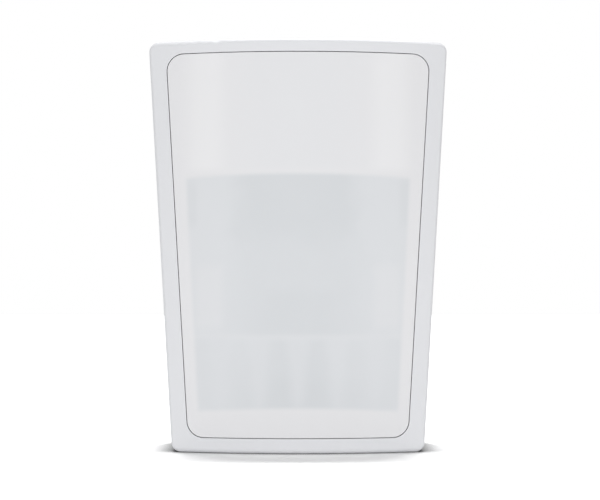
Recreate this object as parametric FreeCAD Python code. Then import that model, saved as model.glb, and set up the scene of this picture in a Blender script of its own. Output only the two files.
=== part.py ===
"""Wireless passive-infrared motion detector with pet immunity, for a wall or a corner.

The row frame has its origin in the middle of the wall face, between the two wall screws:
+Z up, +X to the right as seen from the front, and the barrel-shaped front towards -Y.
Depths are distances from the wall face, so a point at a depth d lies at y = -d.
Levels are heights above the middle as shares of half the housing's height.
"""
import FreeCAD, Part
import math
import os
from FreeCAD import Vector

# Outline, as seen from the front
HEIGHT = 104.0
TOP_WIDTH = 76.8
BOTTOM_WIDTH = 64.4
OUTLINE_RADIUS = 2.4

# Depth and section of the housing
DEPTH = 48.0
BARREL_RADIUS = 75.0
FRONT_EDGE_RADIUS = 1.2
DRAFT_ANGLE = 0.6
WALL = 2.2
BASE_DEPTH = 12.0
CORNER_BEVEL = 9.0

# Lap joint between the back plate and the cover
LIP_HEIGHT = 2.0
LIP_THICKNESS = 1.0
FIT_CLEARANCE = 0.15

# Window opening in the cover, and the window in it
SIDE_BEZEL = 4.2
TOP_BEZEL = 3.3
BOTTOM_BEZEL = 3.7
WINDOW_RADIUS = 4.3
WINDOW_GAP = 0.2
WINDOW_RECESS = 0.1
WINDOW_SKIN = 0.9
WINDOW_RIM = 0.9
FLANGE_THICKNESS = 0.8
FLANGE_CLEARANCE = 0.25
SEAT_CLEARANCE = 0.1
RETAINER_THICKNESS = 1.6
RETAINER_LEDGE = 0.8
SNAP_RIB_REACH = 0.8
SNAP_RIB_THICKNESS = 1.2
SNAP_RIB_LENGTH = 7.0
SNAP_RIB_LEVELS = (-0.69, 0.0, 0.69)

# Lens zones on the window's inner face: how many across each row, and where rows end, from the top
ZONE_COUNTS = (5, 7, 5)
LENS_ROW_LEVELS = (0.346, -0.087, -0.437, -0.787)
ZONE_THICKNESS = 0.5
ZONE_SPACING = 0.4
RING_PITCH = 6.0
RING_DEPTH = 0.3

# Optics chamber between the sensor and the window
CHAMBER_WALL = 1.0
CHAMBER_CLEARANCE = 0.4
CHAMBER_FLANGE = 2.5
CHAMBER_LAND = 2.5
CHAMBER_FLANGE_THICKNESS = 1.2
CHAMBER_THROAT_WIDTH = 20.0
CHAMBER_THROAT_BELOW = 12.5
CHAMBER_THROAT_ABOVE = 9.0
GASKET_THICKNESS = 1.2

# Circuit board on the back plate's posts
BOARD_STANDOFF = 7.2
BOARD_THICKNESS = 1.6
BOARD_CLEARANCE = 0.6
BOARD_CORNER_RADIUS = 1.5
POST_DIAMETER = 6.0
BOARD_SCREW_LEVEL = 0.442
BOARD_REST_LEVEL = -0.712
POST_INSET = 9.5
BOARD_SCREW_DIAMETER = 2.5
BOARD_SCREW_LENGTH = 7.0
SCREW_HEAD_DIAMETER = 5.0
SCREW_HEAD_HEIGHT = 1.8
SCREW_SLOT_WIDTH = 0.8
SCREW_SLOT_LENGTH = 3.2
SCREW_SLOT_DEPTH = 0.9
THREAD_CLEARANCE = 0.05
HOLE_CLEARANCE = 0.2

# Wall screws, and the thin spots that are drilled through to fix it across a corner
WALL_HOLE_DIAMETER = 4.2
WALL_HOLE_SPACING = 60.0
WALL_BOSS_DIAMETER = 9.0
WALL_BOSS_HEIGHT = 1.2
KNOCKOUT_DIAMETER = 4.5
KNOCKOUT_WEB = 0.8
KNOCKOUT_LEVELS = (-0.192, 0.731)

# Screw under the lower end that holds the cover, and the tongue it bites into
COVER_SCREW_DIAMETER = 2.9
COVER_SCREW_LENGTH = 7.5
COVER_SCREW_DEPTH = 19.0
COVER_HEAD_DIAMETER = 5.4
COVER_HEAD_HEIGHT = 1.6
COVER_HEAD_RECESS = 2.0
TONGUE_WIDTH = 10.0
TONGUE_THICKNESS = 3.6
TONGUE_REACH = 4.0
PAD_THICKNESS = 1.8

# Hooks at the upper end that hold the cover
HOOK_SPACING = 36.0
HOOK_WIDTH = 6.0
HOOK_THICKNESS = 1.6
HOOK_REACH = 7.0
HOOK_BARB = 0.9
HOOK_CLEARANCE = 0.2

# Passive-infrared sensor in its metal can
SENSOR_LEVEL = 0.096
SENSOR_STANDOFF = 0.8
SENSOR_FLANGE_DIAMETER = 9.1
SENSOR_FLANGE_THICKNESS = 0.5
SENSOR_TAB_SIZE = 1.4
SENSOR_CAN_DIAMETER = 8.2
SENSOR_CAN_HEIGHT = 3.7
SENSOR_CAN_WALL = 0.3
SENSOR_WINDOW = (4.8, 4.0)
SENSOR_FILTER_MARGIN = 0.3
SENSOR_FILTER_THICKNESS = 0.5
SENSOR_LEAD_DIAMETER = 0.5
SENSOR_LEAD_CIRCLE = 5.1
SENSOR_LEAD_TAIL = 1.2

# Light for the walk test, inside the chamber
LED_DROP = 8.6
LED_SIZE = (3.2, 2.8, 1.9)
LED_WELL_DIAMETER = 2.4
LED_WELL_DEPTH = 0.7

# Battery across the upper part of the board
CELL_DIAMETER = 17.0
CELL_LENGTH = 34.5
CELL_BUTTON_DIAMETER = 6.5
CELL_BUTTON_LENGTH = 0.8
CELL_DROP = 15.5
CELL_CLEARANCE = 0.3
HOLDER_WALL = 1.4
HOLDER_REACH = 11.5
HOLDER_NOTCH = 12.0
CONTACT_THICKNESS = 0.4
CONTACT_WIDTH = 7.0
CONTACT_LEAF_WIDTH = 4.6
CONTACT_SPRING_LENGTH = 2.4
CONTACT_GAP = 0.1

# Parts soldered to the board, each by its middle
CHIP_X = -13.5
CHIP_LEVEL = -0.442
CHIP_SIZE = (7.5, 13.0, 2.2)
CHIP_LEGS = 10
CHIP_LEG_PITCH = 1.27
CHIP_LEG_SIZE = (1.4, 0.4, 0.9)
CAPACITOR_INSET = 9.8
CAPACITOR_LEVEL = -0.154
CAPACITOR_DIAMETER = 6.3
CAPACITOR_HEIGHT = 7.7
CAPACITOR_BASE_HEIGHT = 1.0
RADIO_X = 13.5
RADIO_LEVEL = -0.442
RADIO_SIZE = (14.0, 18.0, 0.8)
SHIELD_SIZE = (12.0, 13.0, 2.2)
SHIELD_WALL = 0.3
ANTENNA_INSET = 7.5
ANTENNA_LEVEL = -0.423
ANTENNA_WIDTH = 2.0
ANTENNA_THICKNESS = 0.4
ANTENNA_RISE = 4.0
ANTENNA_LENGTH = 34.0
ANTENNA_FOOT_SPACING = 6.0
HEADER_X = -1.5
CONTROLS_LEVEL = -0.74
HEADER_PITCH = 2.54
HEADER_PINS = 3
HEADER_BASE_HEIGHT = 2.5
HEADER_PIN_SIZE = 0.64
HEADER_PIN_HEIGHT = 8.5
JUMPER_CAP_HEIGHT = 6.0
JUMPER_CAP_LIFT = 0.3

# Enrol button: the cap travels into its body and a dome inside sends it back
BUTTON_X = -12.0
BUTTON_SIZE = 6.0
BUTTON_BODY_HEIGHT = 3.5
BUTTON_CAP_DIAMETER = 3.5
BUTTON_CAP_RISE = 1.4
BUTTON_TRAVEL = 0.25
BUTTON_ENGAGEMENT = 1.0
MOVING_CLEARANCE = 0.06

# Tamper switch: a rib in the closed cover all but touches the sprung plunger
TAMPER_X = 12.0
TAMPER_SIZE = 6.5
TAMPER_BODY_HEIGHT = 4.0
TAMPER_PLUNGER_DIAMETER = 2.4
TAMPER_PLUNGER_RISE = 2.0
TAMPER_TRAVEL = 0.5
TAMPER_ENGAGEMENT = 1.6
TAMPER_RIB_WIDTH = 3.0
TAMPER_RIB_LENGTH = 7.0

# How near two coordinates are to count as the same
NEAR = 1e-3

# Worked out from the sizes above
HALF_HEIGHT = HEIGHT / 2
TAPER = math.atan((TOP_WIDTH - BOTTOM_WIDTH) / 2 / HEIGHT)
BARREL_AXIS_Y = BARREL_RADIUS - DEPTH
BOARD_BACK = WALL + BOARD_STANDOFF
BOARD_FRONT = BOARD_BACK + BOARD_THICKNESS
SIDE_MARGIN = SIDE_BEZEL + math.tan(math.radians(DRAFT_ANGLE)) * (DEPTH - BASE_DEPTH)
PAD_TOP = WALL + PAD_THICKNESS
TONGUE_BOTTOM = PAD_TOP + HOOK_CLEARANCE
TONGUE_TOP = TONGUE_BOTTOM + TONGUE_THICKNESS
TONGUE_END = COVER_SCREW_DEPTH + TONGUE_REACH
FLANGE_OUTER = BARREL_RADIUS - WALL - SEAT_CLEARANCE
FLANGE_INNER = FLANGE_OUTER - FLANGE_THICKNESS
RETAINER_OUTER = FLANGE_INNER - SEAT_CLEARANCE
RETAINER_INNER = RETAINER_OUTER - RETAINER_THICKNESS
SKIN_INNER = BARREL_RADIUS - WINDOW_SKIN
ZONE_FACE = SKIN_INNER - ZONE_THICKNESS
LENS_TOP = LENS_ROW_LEVELS[0] * HALF_HEIGHT
LENS_BOTTOM = LENS_ROW_LEVELS[-1] * HALF_HEIGHT
CHAMBER_SIDE_MARGIN = SIDE_MARGIN + WINDOW_GAP + WINDOW_RIM + RETAINER_LEDGE + CHAMBER_CLEARANCE
CHAMBER_BACK = BOARD_FRONT + GASKET_THICKNESS
CELL_DEPTH = BOARD_FRONT + HOLDER_WALL + CELL_CLEARANCE + CELL_DIAMETER / 2
CELL_HEIGHT = HALF_HEIGHT - CELL_DROP
SENSOR_HEIGHT = SENSOR_LEVEL * HALF_HEIGHT
LED_HEIGHT = SENSOR_HEIGHT - LED_DROP
CHIP_PLACE = (CHIP_X, CHIP_LEVEL * HALF_HEIGHT)
RADIO_PLACE = (RADIO_X, RADIO_LEVEL * HALF_HEIGHT)
HEADER_PLACE = (HEADER_X, CONTROLS_LEVEL * HALF_HEIGHT)
BUTTON_PLACE = (BUTTON_X, CONTROLS_LEVEL * HALF_HEIGHT)
TAMPER_PLACE = (TAMPER_X, CONTROLS_LEVEL * HALF_HEIGHT)


def half_width(z):
    """Half the width of the outline at a height above its middle."""
    return (TOP_WIDTH + BOTTOM_WIDTH) / 4 + (TOP_WIDTH - BOTTOM_WIDTH) / 2 * z / HEIGHT


def inner_inset(depth):
    """How far the inside of the back plate's bevelled side lies inside the outline."""
    return max(WALL, CORNER_BEVEL + WALL * math.sqrt(2) - depth)


def cover_draft(depth):
    """How far the cover's sides have drawn in at a depth in front of the parting line."""
    return (depth - BASE_DEPTH) * math.tan(math.radians(DRAFT_ANGLE))


def box(x_range, depth_range, z_range):
    """Block between two limits in x, in depth and in z."""
    size = (x_range[1] - x_range[0], depth_range[1] - depth_range[0], z_range[1] - z_range[0])
    return Part.makeBox(*size, Vector(x_range[0], -depth_range[1], z_range[0]))


def centred_box(place, width, height, depth_range):
    """Block with its middle at x and z, between two depths."""
    x, z = place
    return box((x - width / 2, x + width / 2), depth_range, (z - height / 2, z + height / 2))


def peg(place, diameter, depth_range):
    """Cylinder that stands out from the wall, at x and z, between two depths."""
    x, z = place
    length = depth_range[1] - depth_range[0]
    return Part.makeCylinder(diameter / 2, length, Vector(x, -depth_range[0], z), Vector(0, -1, 0))


def rim_at(shape, depth):
    """Edges of a shape that lie round its end at one depth."""
    return [edge for edge in shape.Edges if all(abs(v.Y + depth) < NEAR for v in edge.Vertexes)]


def fuse_all(shapes):
    """One solid from shapes that meet."""
    return shapes[0].fuse(shapes[1:]).removeSplitter()


def tapered_corners(side, top, bottom):
    """Corners of the outline, drawn in at the sides, the top and the bottom."""
    z_top = HALF_HEIGHT - top
    z_bottom = bottom - HALF_HEIGHT
    x_top = half_width(z_top) - side / math.cos(TAPER)
    x_bottom = half_width(z_bottom) - side / math.cos(TAPER)
    return [(-x_top, z_top), (x_top, z_top), (x_bottom, z_bottom), (-x_bottom, z_bottom)]


def rounded_wire(corners, radius, depth):
    """Closed outline through corners in x and z, rounded at each, at one depth."""
    points = [Vector(x, -depth, z) for x, z in corners]
    rounds = []
    for index, corner in enumerate(points):
        back = (points[index - 1] - corner).normalize()
        ahead = (points[(index + 1) % len(points)] - corner).normalize()
        half_angle = back.getAngle(ahead) / 2
        reach = radius / math.tan(half_angle)
        bulge = (back + ahead).normalize() * (radius / math.sin(half_angle) - radius)
        rounds.append((corner + back * reach, corner + bulge, corner + ahead * reach))
    edges = []
    for index, (start, middle, end) in enumerate(rounds):
        edges.append(Part.Arc(start, middle, end).toShape())
        edges.append(Part.makeLine(end, rounds[(index + 1) % len(rounds)][0]))
    return Part.Wire(edges)


def prism(corners, radius, depth_range):
    """Straight block with a rounded outline between two depths."""
    face = Part.Face(rounded_wire(corners, radius, depth_range[0]))
    return face.extrude(Vector(0, depth_range[0] - depth_range[1], 0))


def sharp_prism(corners, depth_range):
    """Straight block with a sharp-cornered outline between two depths."""
    return lofted([(corners, depth_range[0]), (corners, depth_range[1])])


def lofted(sections):
    """Solid with flat sides through sharp-cornered outlines, each given as corners and depth."""
    rings = [[Vector(x, -depth, z) for x, z in corners] for corners, depth in sections]
    outlines = [rings[0], rings[-1]]
    for near, far in zip(rings, rings[1:]):
        for index in range(len(near)):
            outlines.append([near[index - 1], near[index], far[index], far[index - 1]])
    faces = [Part.Face(Part.makePolygon(points + points[:1])) for points in outlines]
    shell = Part.Shell(faces)
    shell.sewShape()
    solid = Part.Solid(Part.Shell(shell.Faces))
    if solid.Volume < 0:
        solid.reverse()
    return solid


def long_edges(shape):
    """Edges of a shape that run from back to front."""
    return [edge for edge in shape.Edges if abs(edge.Vertexes[0].Y - edge.Vertexes[-1].Y) > WALL]


def barrel(radius):
    """Upright cylinder about the axis that the barrel-shaped front turns on."""
    return Part.makeCylinder(radius, 2 * HEIGHT, Vector(0, BARREL_AXIS_Y, -HEIGHT))


def barrel_slab(corners, radius, outer, inner):
    """Piece of a barrel-shaped layer inside a rounded outline."""
    block = prism(corners, radius, (BASE_DEPTH, DEPTH + 1))
    return block.common(barrel(outer)).cut(barrel(inner))


def drafted_block(margin, back_depth):
    """Block with the cover's drafted sides, drawn in by a margin."""
    sections = []
    for depth in (back_depth, DEPTH + 1):
        sections.append((tapered_corners(margin + cover_draft(depth), margin, margin), depth))
    return lofted(sections)


def cover_form(margin, back_depth):
    """Solid form of the cover drawn in by a margin, from a depth to the barrel front."""
    return drafted_block(margin, back_depth).common(barrel(BARREL_RADIUS - margin))


def window_corners(margin):
    """Corners of the window opening, drawn in by a margin."""
    return tapered_corners(SIDE_MARGIN + margin, TOP_BEZEL + margin, BOTTOM_BEZEL + margin)


def window_radius(margin):
    """Corner radius of the window opening once it is drawn in by a margin."""
    return WINDOW_RADIUS - margin


def on_barrel(edge):
    """Whether an edge lies on the barrel-shaped front."""
    points = edge.discretize(3)
    return all(abs(math.hypot(p.x, p.y - BARREL_AXIS_Y) - BARREL_RADIUS) < NEAR for p in points)


def in_window(edge):
    """Whether an edge runs round the window opening."""
    middle = edge.discretize(3)[1]
    side = half_width(middle.z) - SIDE_BEZEL / 2
    upper = HALF_HEIGHT - TOP_BEZEL / 2
    lower = BOTTOM_BEZEL / 2 - HALF_HEIGHT
    return abs(middle.x) < side and lower < middle.z < upper


def snap_ribs():
    """Small ribs on the cover's side walls, behind the frame that holds the window."""
    outside = cover_form(WALL - SEAT_CLEARANCE, BASE_DEPTH)
    ring = outside.cut(cover_form(WALL + SNAP_RIB_REACH, BASE_DEPTH - 1))
    outer = RETAINER_INNER - SEAT_CLEARANCE
    layer = ring.common(barrel(outer)).cut(barrel(outer - SNAP_RIB_THICKNESS))
    ribs = []
    for level in SNAP_RIB_LEVELS:
        height = level * HALF_HEIGHT
        for side in (-1, 1):
            x = side * half_width(height)
            place = (x, height)
            block = centred_box(place, 4 * WALL, SNAP_RIB_LENGTH, (BASE_DEPTH, DEPTH))
            ribs.append(layer.common(block))
    return ribs


def hook_x():
    """Where the hooks at the upper end stand."""
    return (-HOOK_SPACING / 2, HOOK_SPACING / 2)


def hook_barb_depths():
    """Where a hook's barb begins and ends."""
    end = BASE_DEPTH + HOOK_REACH
    return (end - HOOK_REACH / 2, end)


def hook_recesses():
    """Pockets in the cover's upper wall that the hooks' barbs snap into."""
    start, end = hook_barb_depths()
    bottom = HALF_HEIGHT - WALL - HOOK_BARB
    top = HALF_HEIGHT - WALL + HOOK_BARB
    width = HOOK_WIDTH + 2 * HOOK_CLEARANCE
    depths = (start - HOOK_CLEARANCE, end + HOOK_CLEARANCE)
    return [box((x - width / 2, x + width / 2), depths, (bottom, top)) for x in hook_x()]


def tamper_rib():
    """Rib from the cover's lower wall whose end stands in front of the tamper plunger."""
    x, z = TAMPER_PLACE
    start = BOARD_FRONT + TAMPER_BODY_HEIGHT + TAMPER_PLUNGER_RISE + SEAT_CLEARANCE
    half = TAMPER_RIB_WIDTH / 2
    low = WALL / 2 - HALF_HEIGHT
    return box((x - half, x + half), (start, start + TAMPER_RIB_LENGTH), (low, z + half))


def cover_screw_pad():
    """Thicker spot of the cover's lower wall round the screw."""
    half = TONGUE_WIDTH / 2 + 1
    start = BASE_DEPTH + LIP_HEIGHT + SEAT_CLEARANCE
    return box((-half, half), (start, TONGUE_END), (WALL / 2 - HALF_HEIGHT, PAD_TOP - HALF_HEIGHT))


def screw_column(diameter, z_range):
    """Upright cylinder on the cover screw's axis."""
    length = z_range[1] - z_range[0]
    return Part.makeCylinder(diameter / 2, length, Vector(0, -COVER_SCREW_DEPTH, z_range[0]))


def front_housing():
    """Drafted cover with a barrel front, the window opening, ribs, pad and pockets."""
    form = drafted_block(0, BASE_DEPTH)
    form = form.makeFillet(OUTLINE_RADIUS, long_edges(form)).common(barrel(BARREL_RADIUS))
    form = form.cut(prism(window_corners(0), window_radius(0), (DEPTH / 2, DEPTH + 1)))
    front = [edge for edge in form.Edges if on_barrel(edge)]
    form = form.makeFillet(FRONT_EDGE_RADIUS, [edge for edge in front if not in_window(edge)])
    cover = form.cut(cover_form(WALL, BASE_DEPTH - 1))
    cover = cover.fuse(snap_ribs() + [tamper_rib(), cover_screw_pad()])
    recess_top = COVER_HEAD_RECESS - HALF_HEIGHT
    hole = COVER_SCREW_DIAMETER + 2 * HOLE_CLEARANCE
    screw_hole = screw_column(hole, (-HALF_HEIGHT, -HALF_HEIGHT + 2 * PAD_TOP))
    head_hole = screw_column(COVER_HEAD_DIAMETER + 2 * HOLE_CLEARANCE, (-HALF_HEIGHT - 1, recess_top))
    return cover.cut(hook_recesses() + [screw_hole, head_hole]).removeSplitter()


def lens_zone(width, height, middle, outward):
    """One flat lens zone, stepped in rings, about a point on the face and its outward direction."""
    origin = Vector(-height / 2, -width / 2, RING_DEPTH)
    zone = Part.makeBox(height, width, ZONE_THICKNESS + WINDOW_SKIN / 2 - RING_DEPTH, origin)
    limits = Part.makeBox(height, width, ZONE_THICKNESS, Vector(-height / 2, -width / 2, 0))
    steps = int(math.hypot(width, height) / 2 / RING_PITCH)
    for step in range(steps):
        lower = RING_DEPTH * step / steps
        thick = RING_DEPTH - lower + WINDOW_SKIN / 4
        disc = Part.makeCylinder(RING_PITCH * (step + 1), thick, Vector(0, 0, lower))
        zone = zone.fuse(disc.common(limits))
    turn = FreeCAD.Rotation(Vector(0, 0, 1), Vector(outward.y, -outward.x, 0), outward, "ZYX")
    zone.Placement = FreeCAD.Placement(middle, turn)
    return zone.removeSplitter()


def lens_zones():
    """All lens zones, in rows that follow the barrel from side to side."""
    margin = (CHAMBER_SIDE_MARGIN + CHAMBER_WALL + CHAMBER_CLEARANCE) / math.cos(TAPER)
    zones = []
    limits = [level * HALF_HEIGHT for level in LENS_ROW_LEVELS]
    for count, top, bottom in zip(ZONE_COUNTS, limits, limits[1:]):
        step = 2 * math.asin((half_width(bottom) - margin) / SKIN_INNER) / count
        width = 2 * ZONE_FACE * math.tan(step / 2) - ZONE_SPACING
        for index in range(count):
            angle = step * (index - (count - 1) / 2)
            outward = Vector(math.sin(angle), -math.cos(angle), 0)
            middle = Vector(0, BARREL_AXIS_Y, (top + bottom) / 2) + outward * ZONE_FACE
            zones.append(lens_zone(width, top - bottom - ZONE_SPACING, middle, outward))
    return zones


def lens_window():
    """Milky window with its rim, its flange behind the bezel and the lens zones inside."""
    corners = window_corners(WINDOW_GAP)
    radius = window_radius(WINDOW_GAP)
    skin = barrel_slab(corners, radius, BARREL_RADIUS - WINDOW_RECESS, SKIN_INNER)
    rim = barrel_slab(corners, radius, SKIN_INNER, FLANGE_INNER)
    inside = WINDOW_GAP + WINDOW_RIM
    opening = prism(window_corners(inside), window_radius(inside), (BASE_DEPTH, DEPTH + 1))
    flange = cover_form(WALL + FLANGE_CLEARANCE, BASE_DEPTH)
    flange = flange.common(barrel(FLANGE_OUTER)).cut(barrel(FLANGE_INNER))
    return skin.fuse([rim.cut(opening), flange.cut(opening)] + lens_zones()).removeSplitter()


def lens_retainer():
    """Frame that lies behind the window's flange and clips behind the cover's ribs."""
    frame = cover_form(WALL + FLANGE_CLEARANCE, BASE_DEPTH)
    frame = frame.common(barrel(RETAINER_OUTER)).cut(barrel(RETAINER_INNER))
    inside = WINDOW_GAP + WINDOW_RIM + RETAINER_LEDGE
    return frame.cut(prism(window_corners(inside), window_radius(inside), (BASE_DEPTH, DEPTH + 1)))


def barrel_depth(x):
    """Depth of the barrel-shaped front at a distance from the middle."""
    return math.sqrt(BARREL_RADIUS ** 2 - x ** 2) - BARREL_AXIS_Y


def chamber_mouth(margin):
    """Corners of the outside of the chamber's wide end, drawn in by a margin."""
    top = HALF_HEIGHT - LENS_TOP - CHAMBER_WALL - CHAMBER_CLEARANCE + margin
    bottom = HALF_HEIGHT + LENS_BOTTOM - CHAMBER_WALL - CHAMBER_CLEARANCE + margin
    return tapered_corners(CHAMBER_SIDE_MARGIN + margin, top, bottom)


def chamber_throat(margin):
    """Corners of the outside of the chamber's narrow end, drawn in by a margin."""
    above = CHAMBER_THROAT_ABOVE + CHAMBER_WALL - margin
    below = CHAMBER_THROAT_BELOW + CHAMBER_WALL - margin
    half = CHAMBER_THROAT_WIDTH / 2 + CHAMBER_WALL - margin
    half_top = half + above * math.tan(TAPER)
    half_bottom = half - below * math.tan(TAPER)
    top = SENSOR_HEIGHT + above
    bottom = SENSOR_HEIGHT - below
    return [(-half_top, top), (half_top, top), (half_bottom, bottom), (-half_bottom, bottom)]


def chamber_form(margin, back_depth):
    """Solid form of the hood drawn in by a margin: a funnel that ends in a straight mouth."""
    shoulder = barrel_depth(half_width(LENS_TOP) - CHAMBER_SIDE_MARGIN) - CHAMBER_LAND
    return lofted([
        (chamber_throat(margin), back_depth),
        (chamber_mouth(margin), shoulder),
        (chamber_mouth(margin), DEPTH),
    ])


def optics_chamber():
    """Hood that widens from the sensor to the lens zones, with a foot on the gasket."""
    hood = chamber_form(0, CHAMBER_BACK).common(barrel(SKIN_INNER - SEAT_CLEARANCE))
    foot_depths = (CHAMBER_BACK, CHAMBER_BACK + CHAMBER_FLANGE_THICKNESS)
    foot = sharp_prism(chamber_throat(-CHAMBER_FLANGE), foot_depths)
    hollow = chamber_form(CHAMBER_WALL, CHAMBER_BACK)
    return hood.fuse(foot).cut(hollow).removeSplitter()


def sensor_gasket():
    """Foam ring between the chamber's foot and the board."""
    depths = (BOARD_FRONT, CHAMBER_BACK)
    ring = sharp_prism(chamber_throat(-CHAMBER_FLANGE), depths)
    return ring.cut(sharp_prism(chamber_throat(CHAMBER_WALL), depths))


def post_places(level):
    """Where the pair of posts at one level stands."""
    height = level * HALF_HEIGHT
    x = half_width(height) - POST_INSET
    return [(-x, height), (x, height)]


def board_screw_places():
    """Where the board's two screws stand."""
    return post_places(BOARD_SCREW_LEVEL)


def plate_sections(margin):
    """Outlines of the back plate's bevelled sides, drawn in by a margin: corners and depth."""
    bevel_inset = CORNER_BEVEL + margin * (math.sqrt(2) - 1)
    return [
        (tapered_corners(bevel_inset, margin, margin), margin),
        (tapered_corners(margin, margin, margin), bevel_inset),
        (tapered_corners(margin, margin, margin), BASE_DEPTH),
    ]


def lip_ring():
    """Lip that stands up inside the cover all round."""
    outer = WALL + FIT_CLEARANCE
    inner = outer + LIP_THICKNESS
    root = WALL / 2
    start = BASE_DEPTH - LIP_HEIGHT
    ring = sharp_prism(tapered_corners(outer, outer, outer), (start, BASE_DEPTH + LIP_HEIGHT))
    shelf = sharp_prism(tapered_corners(root, root, root), (start, BASE_DEPTH))
    hollow = sharp_prism(tapered_corners(inner, inner, inner), (start - 1, BASE_DEPTH + LIP_HEIGHT + 1))
    return ring.fuse(shelf).cut(hollow)


def hooks():
    """Two hooks at the upper end, each with a barb for its pocket in the cover."""
    start, end = hook_barb_depths()
    top = HALF_HEIGHT - WALL - HOOK_CLEARANCE
    bottom = top - HOOK_THICKNESS
    barb = top + HOOK_BARB
    outline = [(BASE_DEPTH - LIP_HEIGHT, bottom), (end, bottom), (end, top), (start, barb), (start, top)]
    outline.append((BASE_DEPTH - LIP_HEIGHT, top))
    shapes = []
    for x in hook_x():
        points = [Vector(x - HOOK_WIDTH / 2, -depth, z) for depth, z in outline]
        face = Part.Face(Part.makePolygon(points + points[:1]))
        shapes.append(face.extrude(Vector(HOOK_WIDTH, 0, 0)))
    return shapes


def tongue():
    """Tongue above the cover's lower wall that the cover screw bites into."""
    half = TONGUE_WIDTH / 2
    z_range = (TONGUE_BOTTOM - HALF_HEIGHT, TONGUE_TOP - HALF_HEIGHT)
    return box((-half, half), (WALL / 2, TONGUE_END), z_range)


def corner_knockouts():
    """Blind holes from inside that leave a thin web in each bevel."""
    drills = []
    inward = math.sqrt(0.5)
    for level in KNOCKOUT_LEVELS:
        height = level * HALF_HEIGHT
        for side in (-1, 1):
            x = half_width(height) - CORNER_BEVEL / 2
            start = Vector(side * x, -CORNER_BEVEL / 2, height)
            direction = Vector(-side * inward, -inward, 0)
            start = start + direction * KNOCKOUT_WEB
            drills.append(Part.makeCylinder(KNOCKOUT_DIAMETER / 2, 2 * WALL, start, direction))
    return drills


def wall_hole_places():
    """Where the two wall screws go through."""
    return [(0, -WALL_HOLE_SPACING / 2), (0, WALL_HOLE_SPACING / 2)]


def back_plate():
    """Moulded base: floor, bevelled rim, lip, hooks, tongue, board posts and screw holes."""
    outside = [rounded_wire(corners, OUTLINE_RADIUS, depth) for corners, depth in plate_sections(0)]
    hollow = lofted(plate_sections(WALL))
    plate = Part.makeLoft(outside, True, True).cut(hollow)
    inside = lofted(plate_sections(WALL / 2))
    places = board_screw_places() + post_places(BOARD_REST_LEVEL)
    posts = [peg(place, POST_DIAMETER, (WALL / 2, BOARD_BACK)) for place in places]
    posts = [post.common(inside) for post in posts]
    boss_top = WALL + WALL_BOSS_HEIGHT
    bosses = [peg(place, WALL_BOSS_DIAMETER, (WALL / 2, boss_top)) for place in wall_hole_places()]
    plate = fuse_all([plate, lip_ring(), tongue()] + posts + bosses + hooks())
    pilot = BOARD_SCREW_DIAMETER + 2 * THREAD_CLEARANCE
    bottom = BOARD_FRONT - BOARD_SCREW_LENGTH - SEAT_CLEARANCE
    holes = [peg(place, pilot, (bottom, BOARD_BACK + 1)) for place in board_screw_places()]
    holes += [peg(place, WALL_HOLE_DIAMETER, (-1, boss_top + 1)) for place in wall_hole_places()]
    cover_pilot = COVER_SCREW_DIAMETER + 2 * THREAD_CLEARANCE
    holes.append(screw_column(cover_pilot, (TONGUE_BOTTOM - HALF_HEIGHT - 1, TONGUE_TOP - HALF_HEIGHT + 1)))
    return plate.cut(holes + corner_knockouts()).removeSplitter()


def board_corners():
    """Corners of the circuit board inside the back plate's rim."""
    lip = WALL + FIT_CLEARANCE + LIP_THICKNESS
    side = max(inner_inset(BOARD_BACK), lip) + BOARD_CLEARANCE
    top = lip + HOOK_THICKNESS + BOARD_CLEARANCE
    return tapered_corners(side, top, TONGUE_TOP + BOARD_CLEARANCE)


def sensor_lead_places():
    """Where the sensor's three leads pass through the board."""
    places = []
    for quarter in (0, 1, 2):
        angle = math.radians(90 * quarter)
        x = SENSOR_LEAD_CIRCLE / 2 * math.cos(angle)
        places.append((x, SENSOR_HEIGHT + SENSOR_LEAD_CIRCLE / 2 * math.sin(angle)))
    return places


def header_pin_places():
    """Where the jumper header's pins stand."""
    x, z = HEADER_PLACE
    return [(x + HEADER_PITCH * (index - (HEADER_PINS - 1) / 2), z) for index in range(HEADER_PINS)]


def circuit_board():
    """Board with holes for its screws and the sensor's leads."""
    board = prism(board_corners(), BOARD_CORNER_RADIUS, (BOARD_BACK, BOARD_FRONT))
    through = (BOARD_BACK - 1, BOARD_FRONT + 1)
    hole = BOARD_SCREW_DIAMETER + 2 * HOLE_CLEARANCE
    holes = [peg(place, hole, through) for place in board_screw_places()]
    lead = SENSOR_LEAD_DIAMETER + 2 * HOLE_CLEARANCE
    holes += [peg(place, lead, through) for place in sensor_lead_places()]
    return board.cut(holes)


def board_screws():
    """Two like screws that hold the board on the upper posts."""
    top = BOARD_FRONT + SCREW_HEAD_HEIGHT
    screws = []
    for place in board_screw_places():
        head = peg(place, SCREW_HEAD_DIAMETER, (BOARD_FRONT, top))
        head = head.makeChamfer(SCREW_HEAD_HEIGHT / 3, rim_at(head, top))
        shank = peg(place, BOARD_SCREW_DIAMETER, (BOARD_FRONT - BOARD_SCREW_LENGTH, BOARD_FRONT))
        screws.append(fuse_all([head, shank]))
    return Part.makeCompound(screws)


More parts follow.
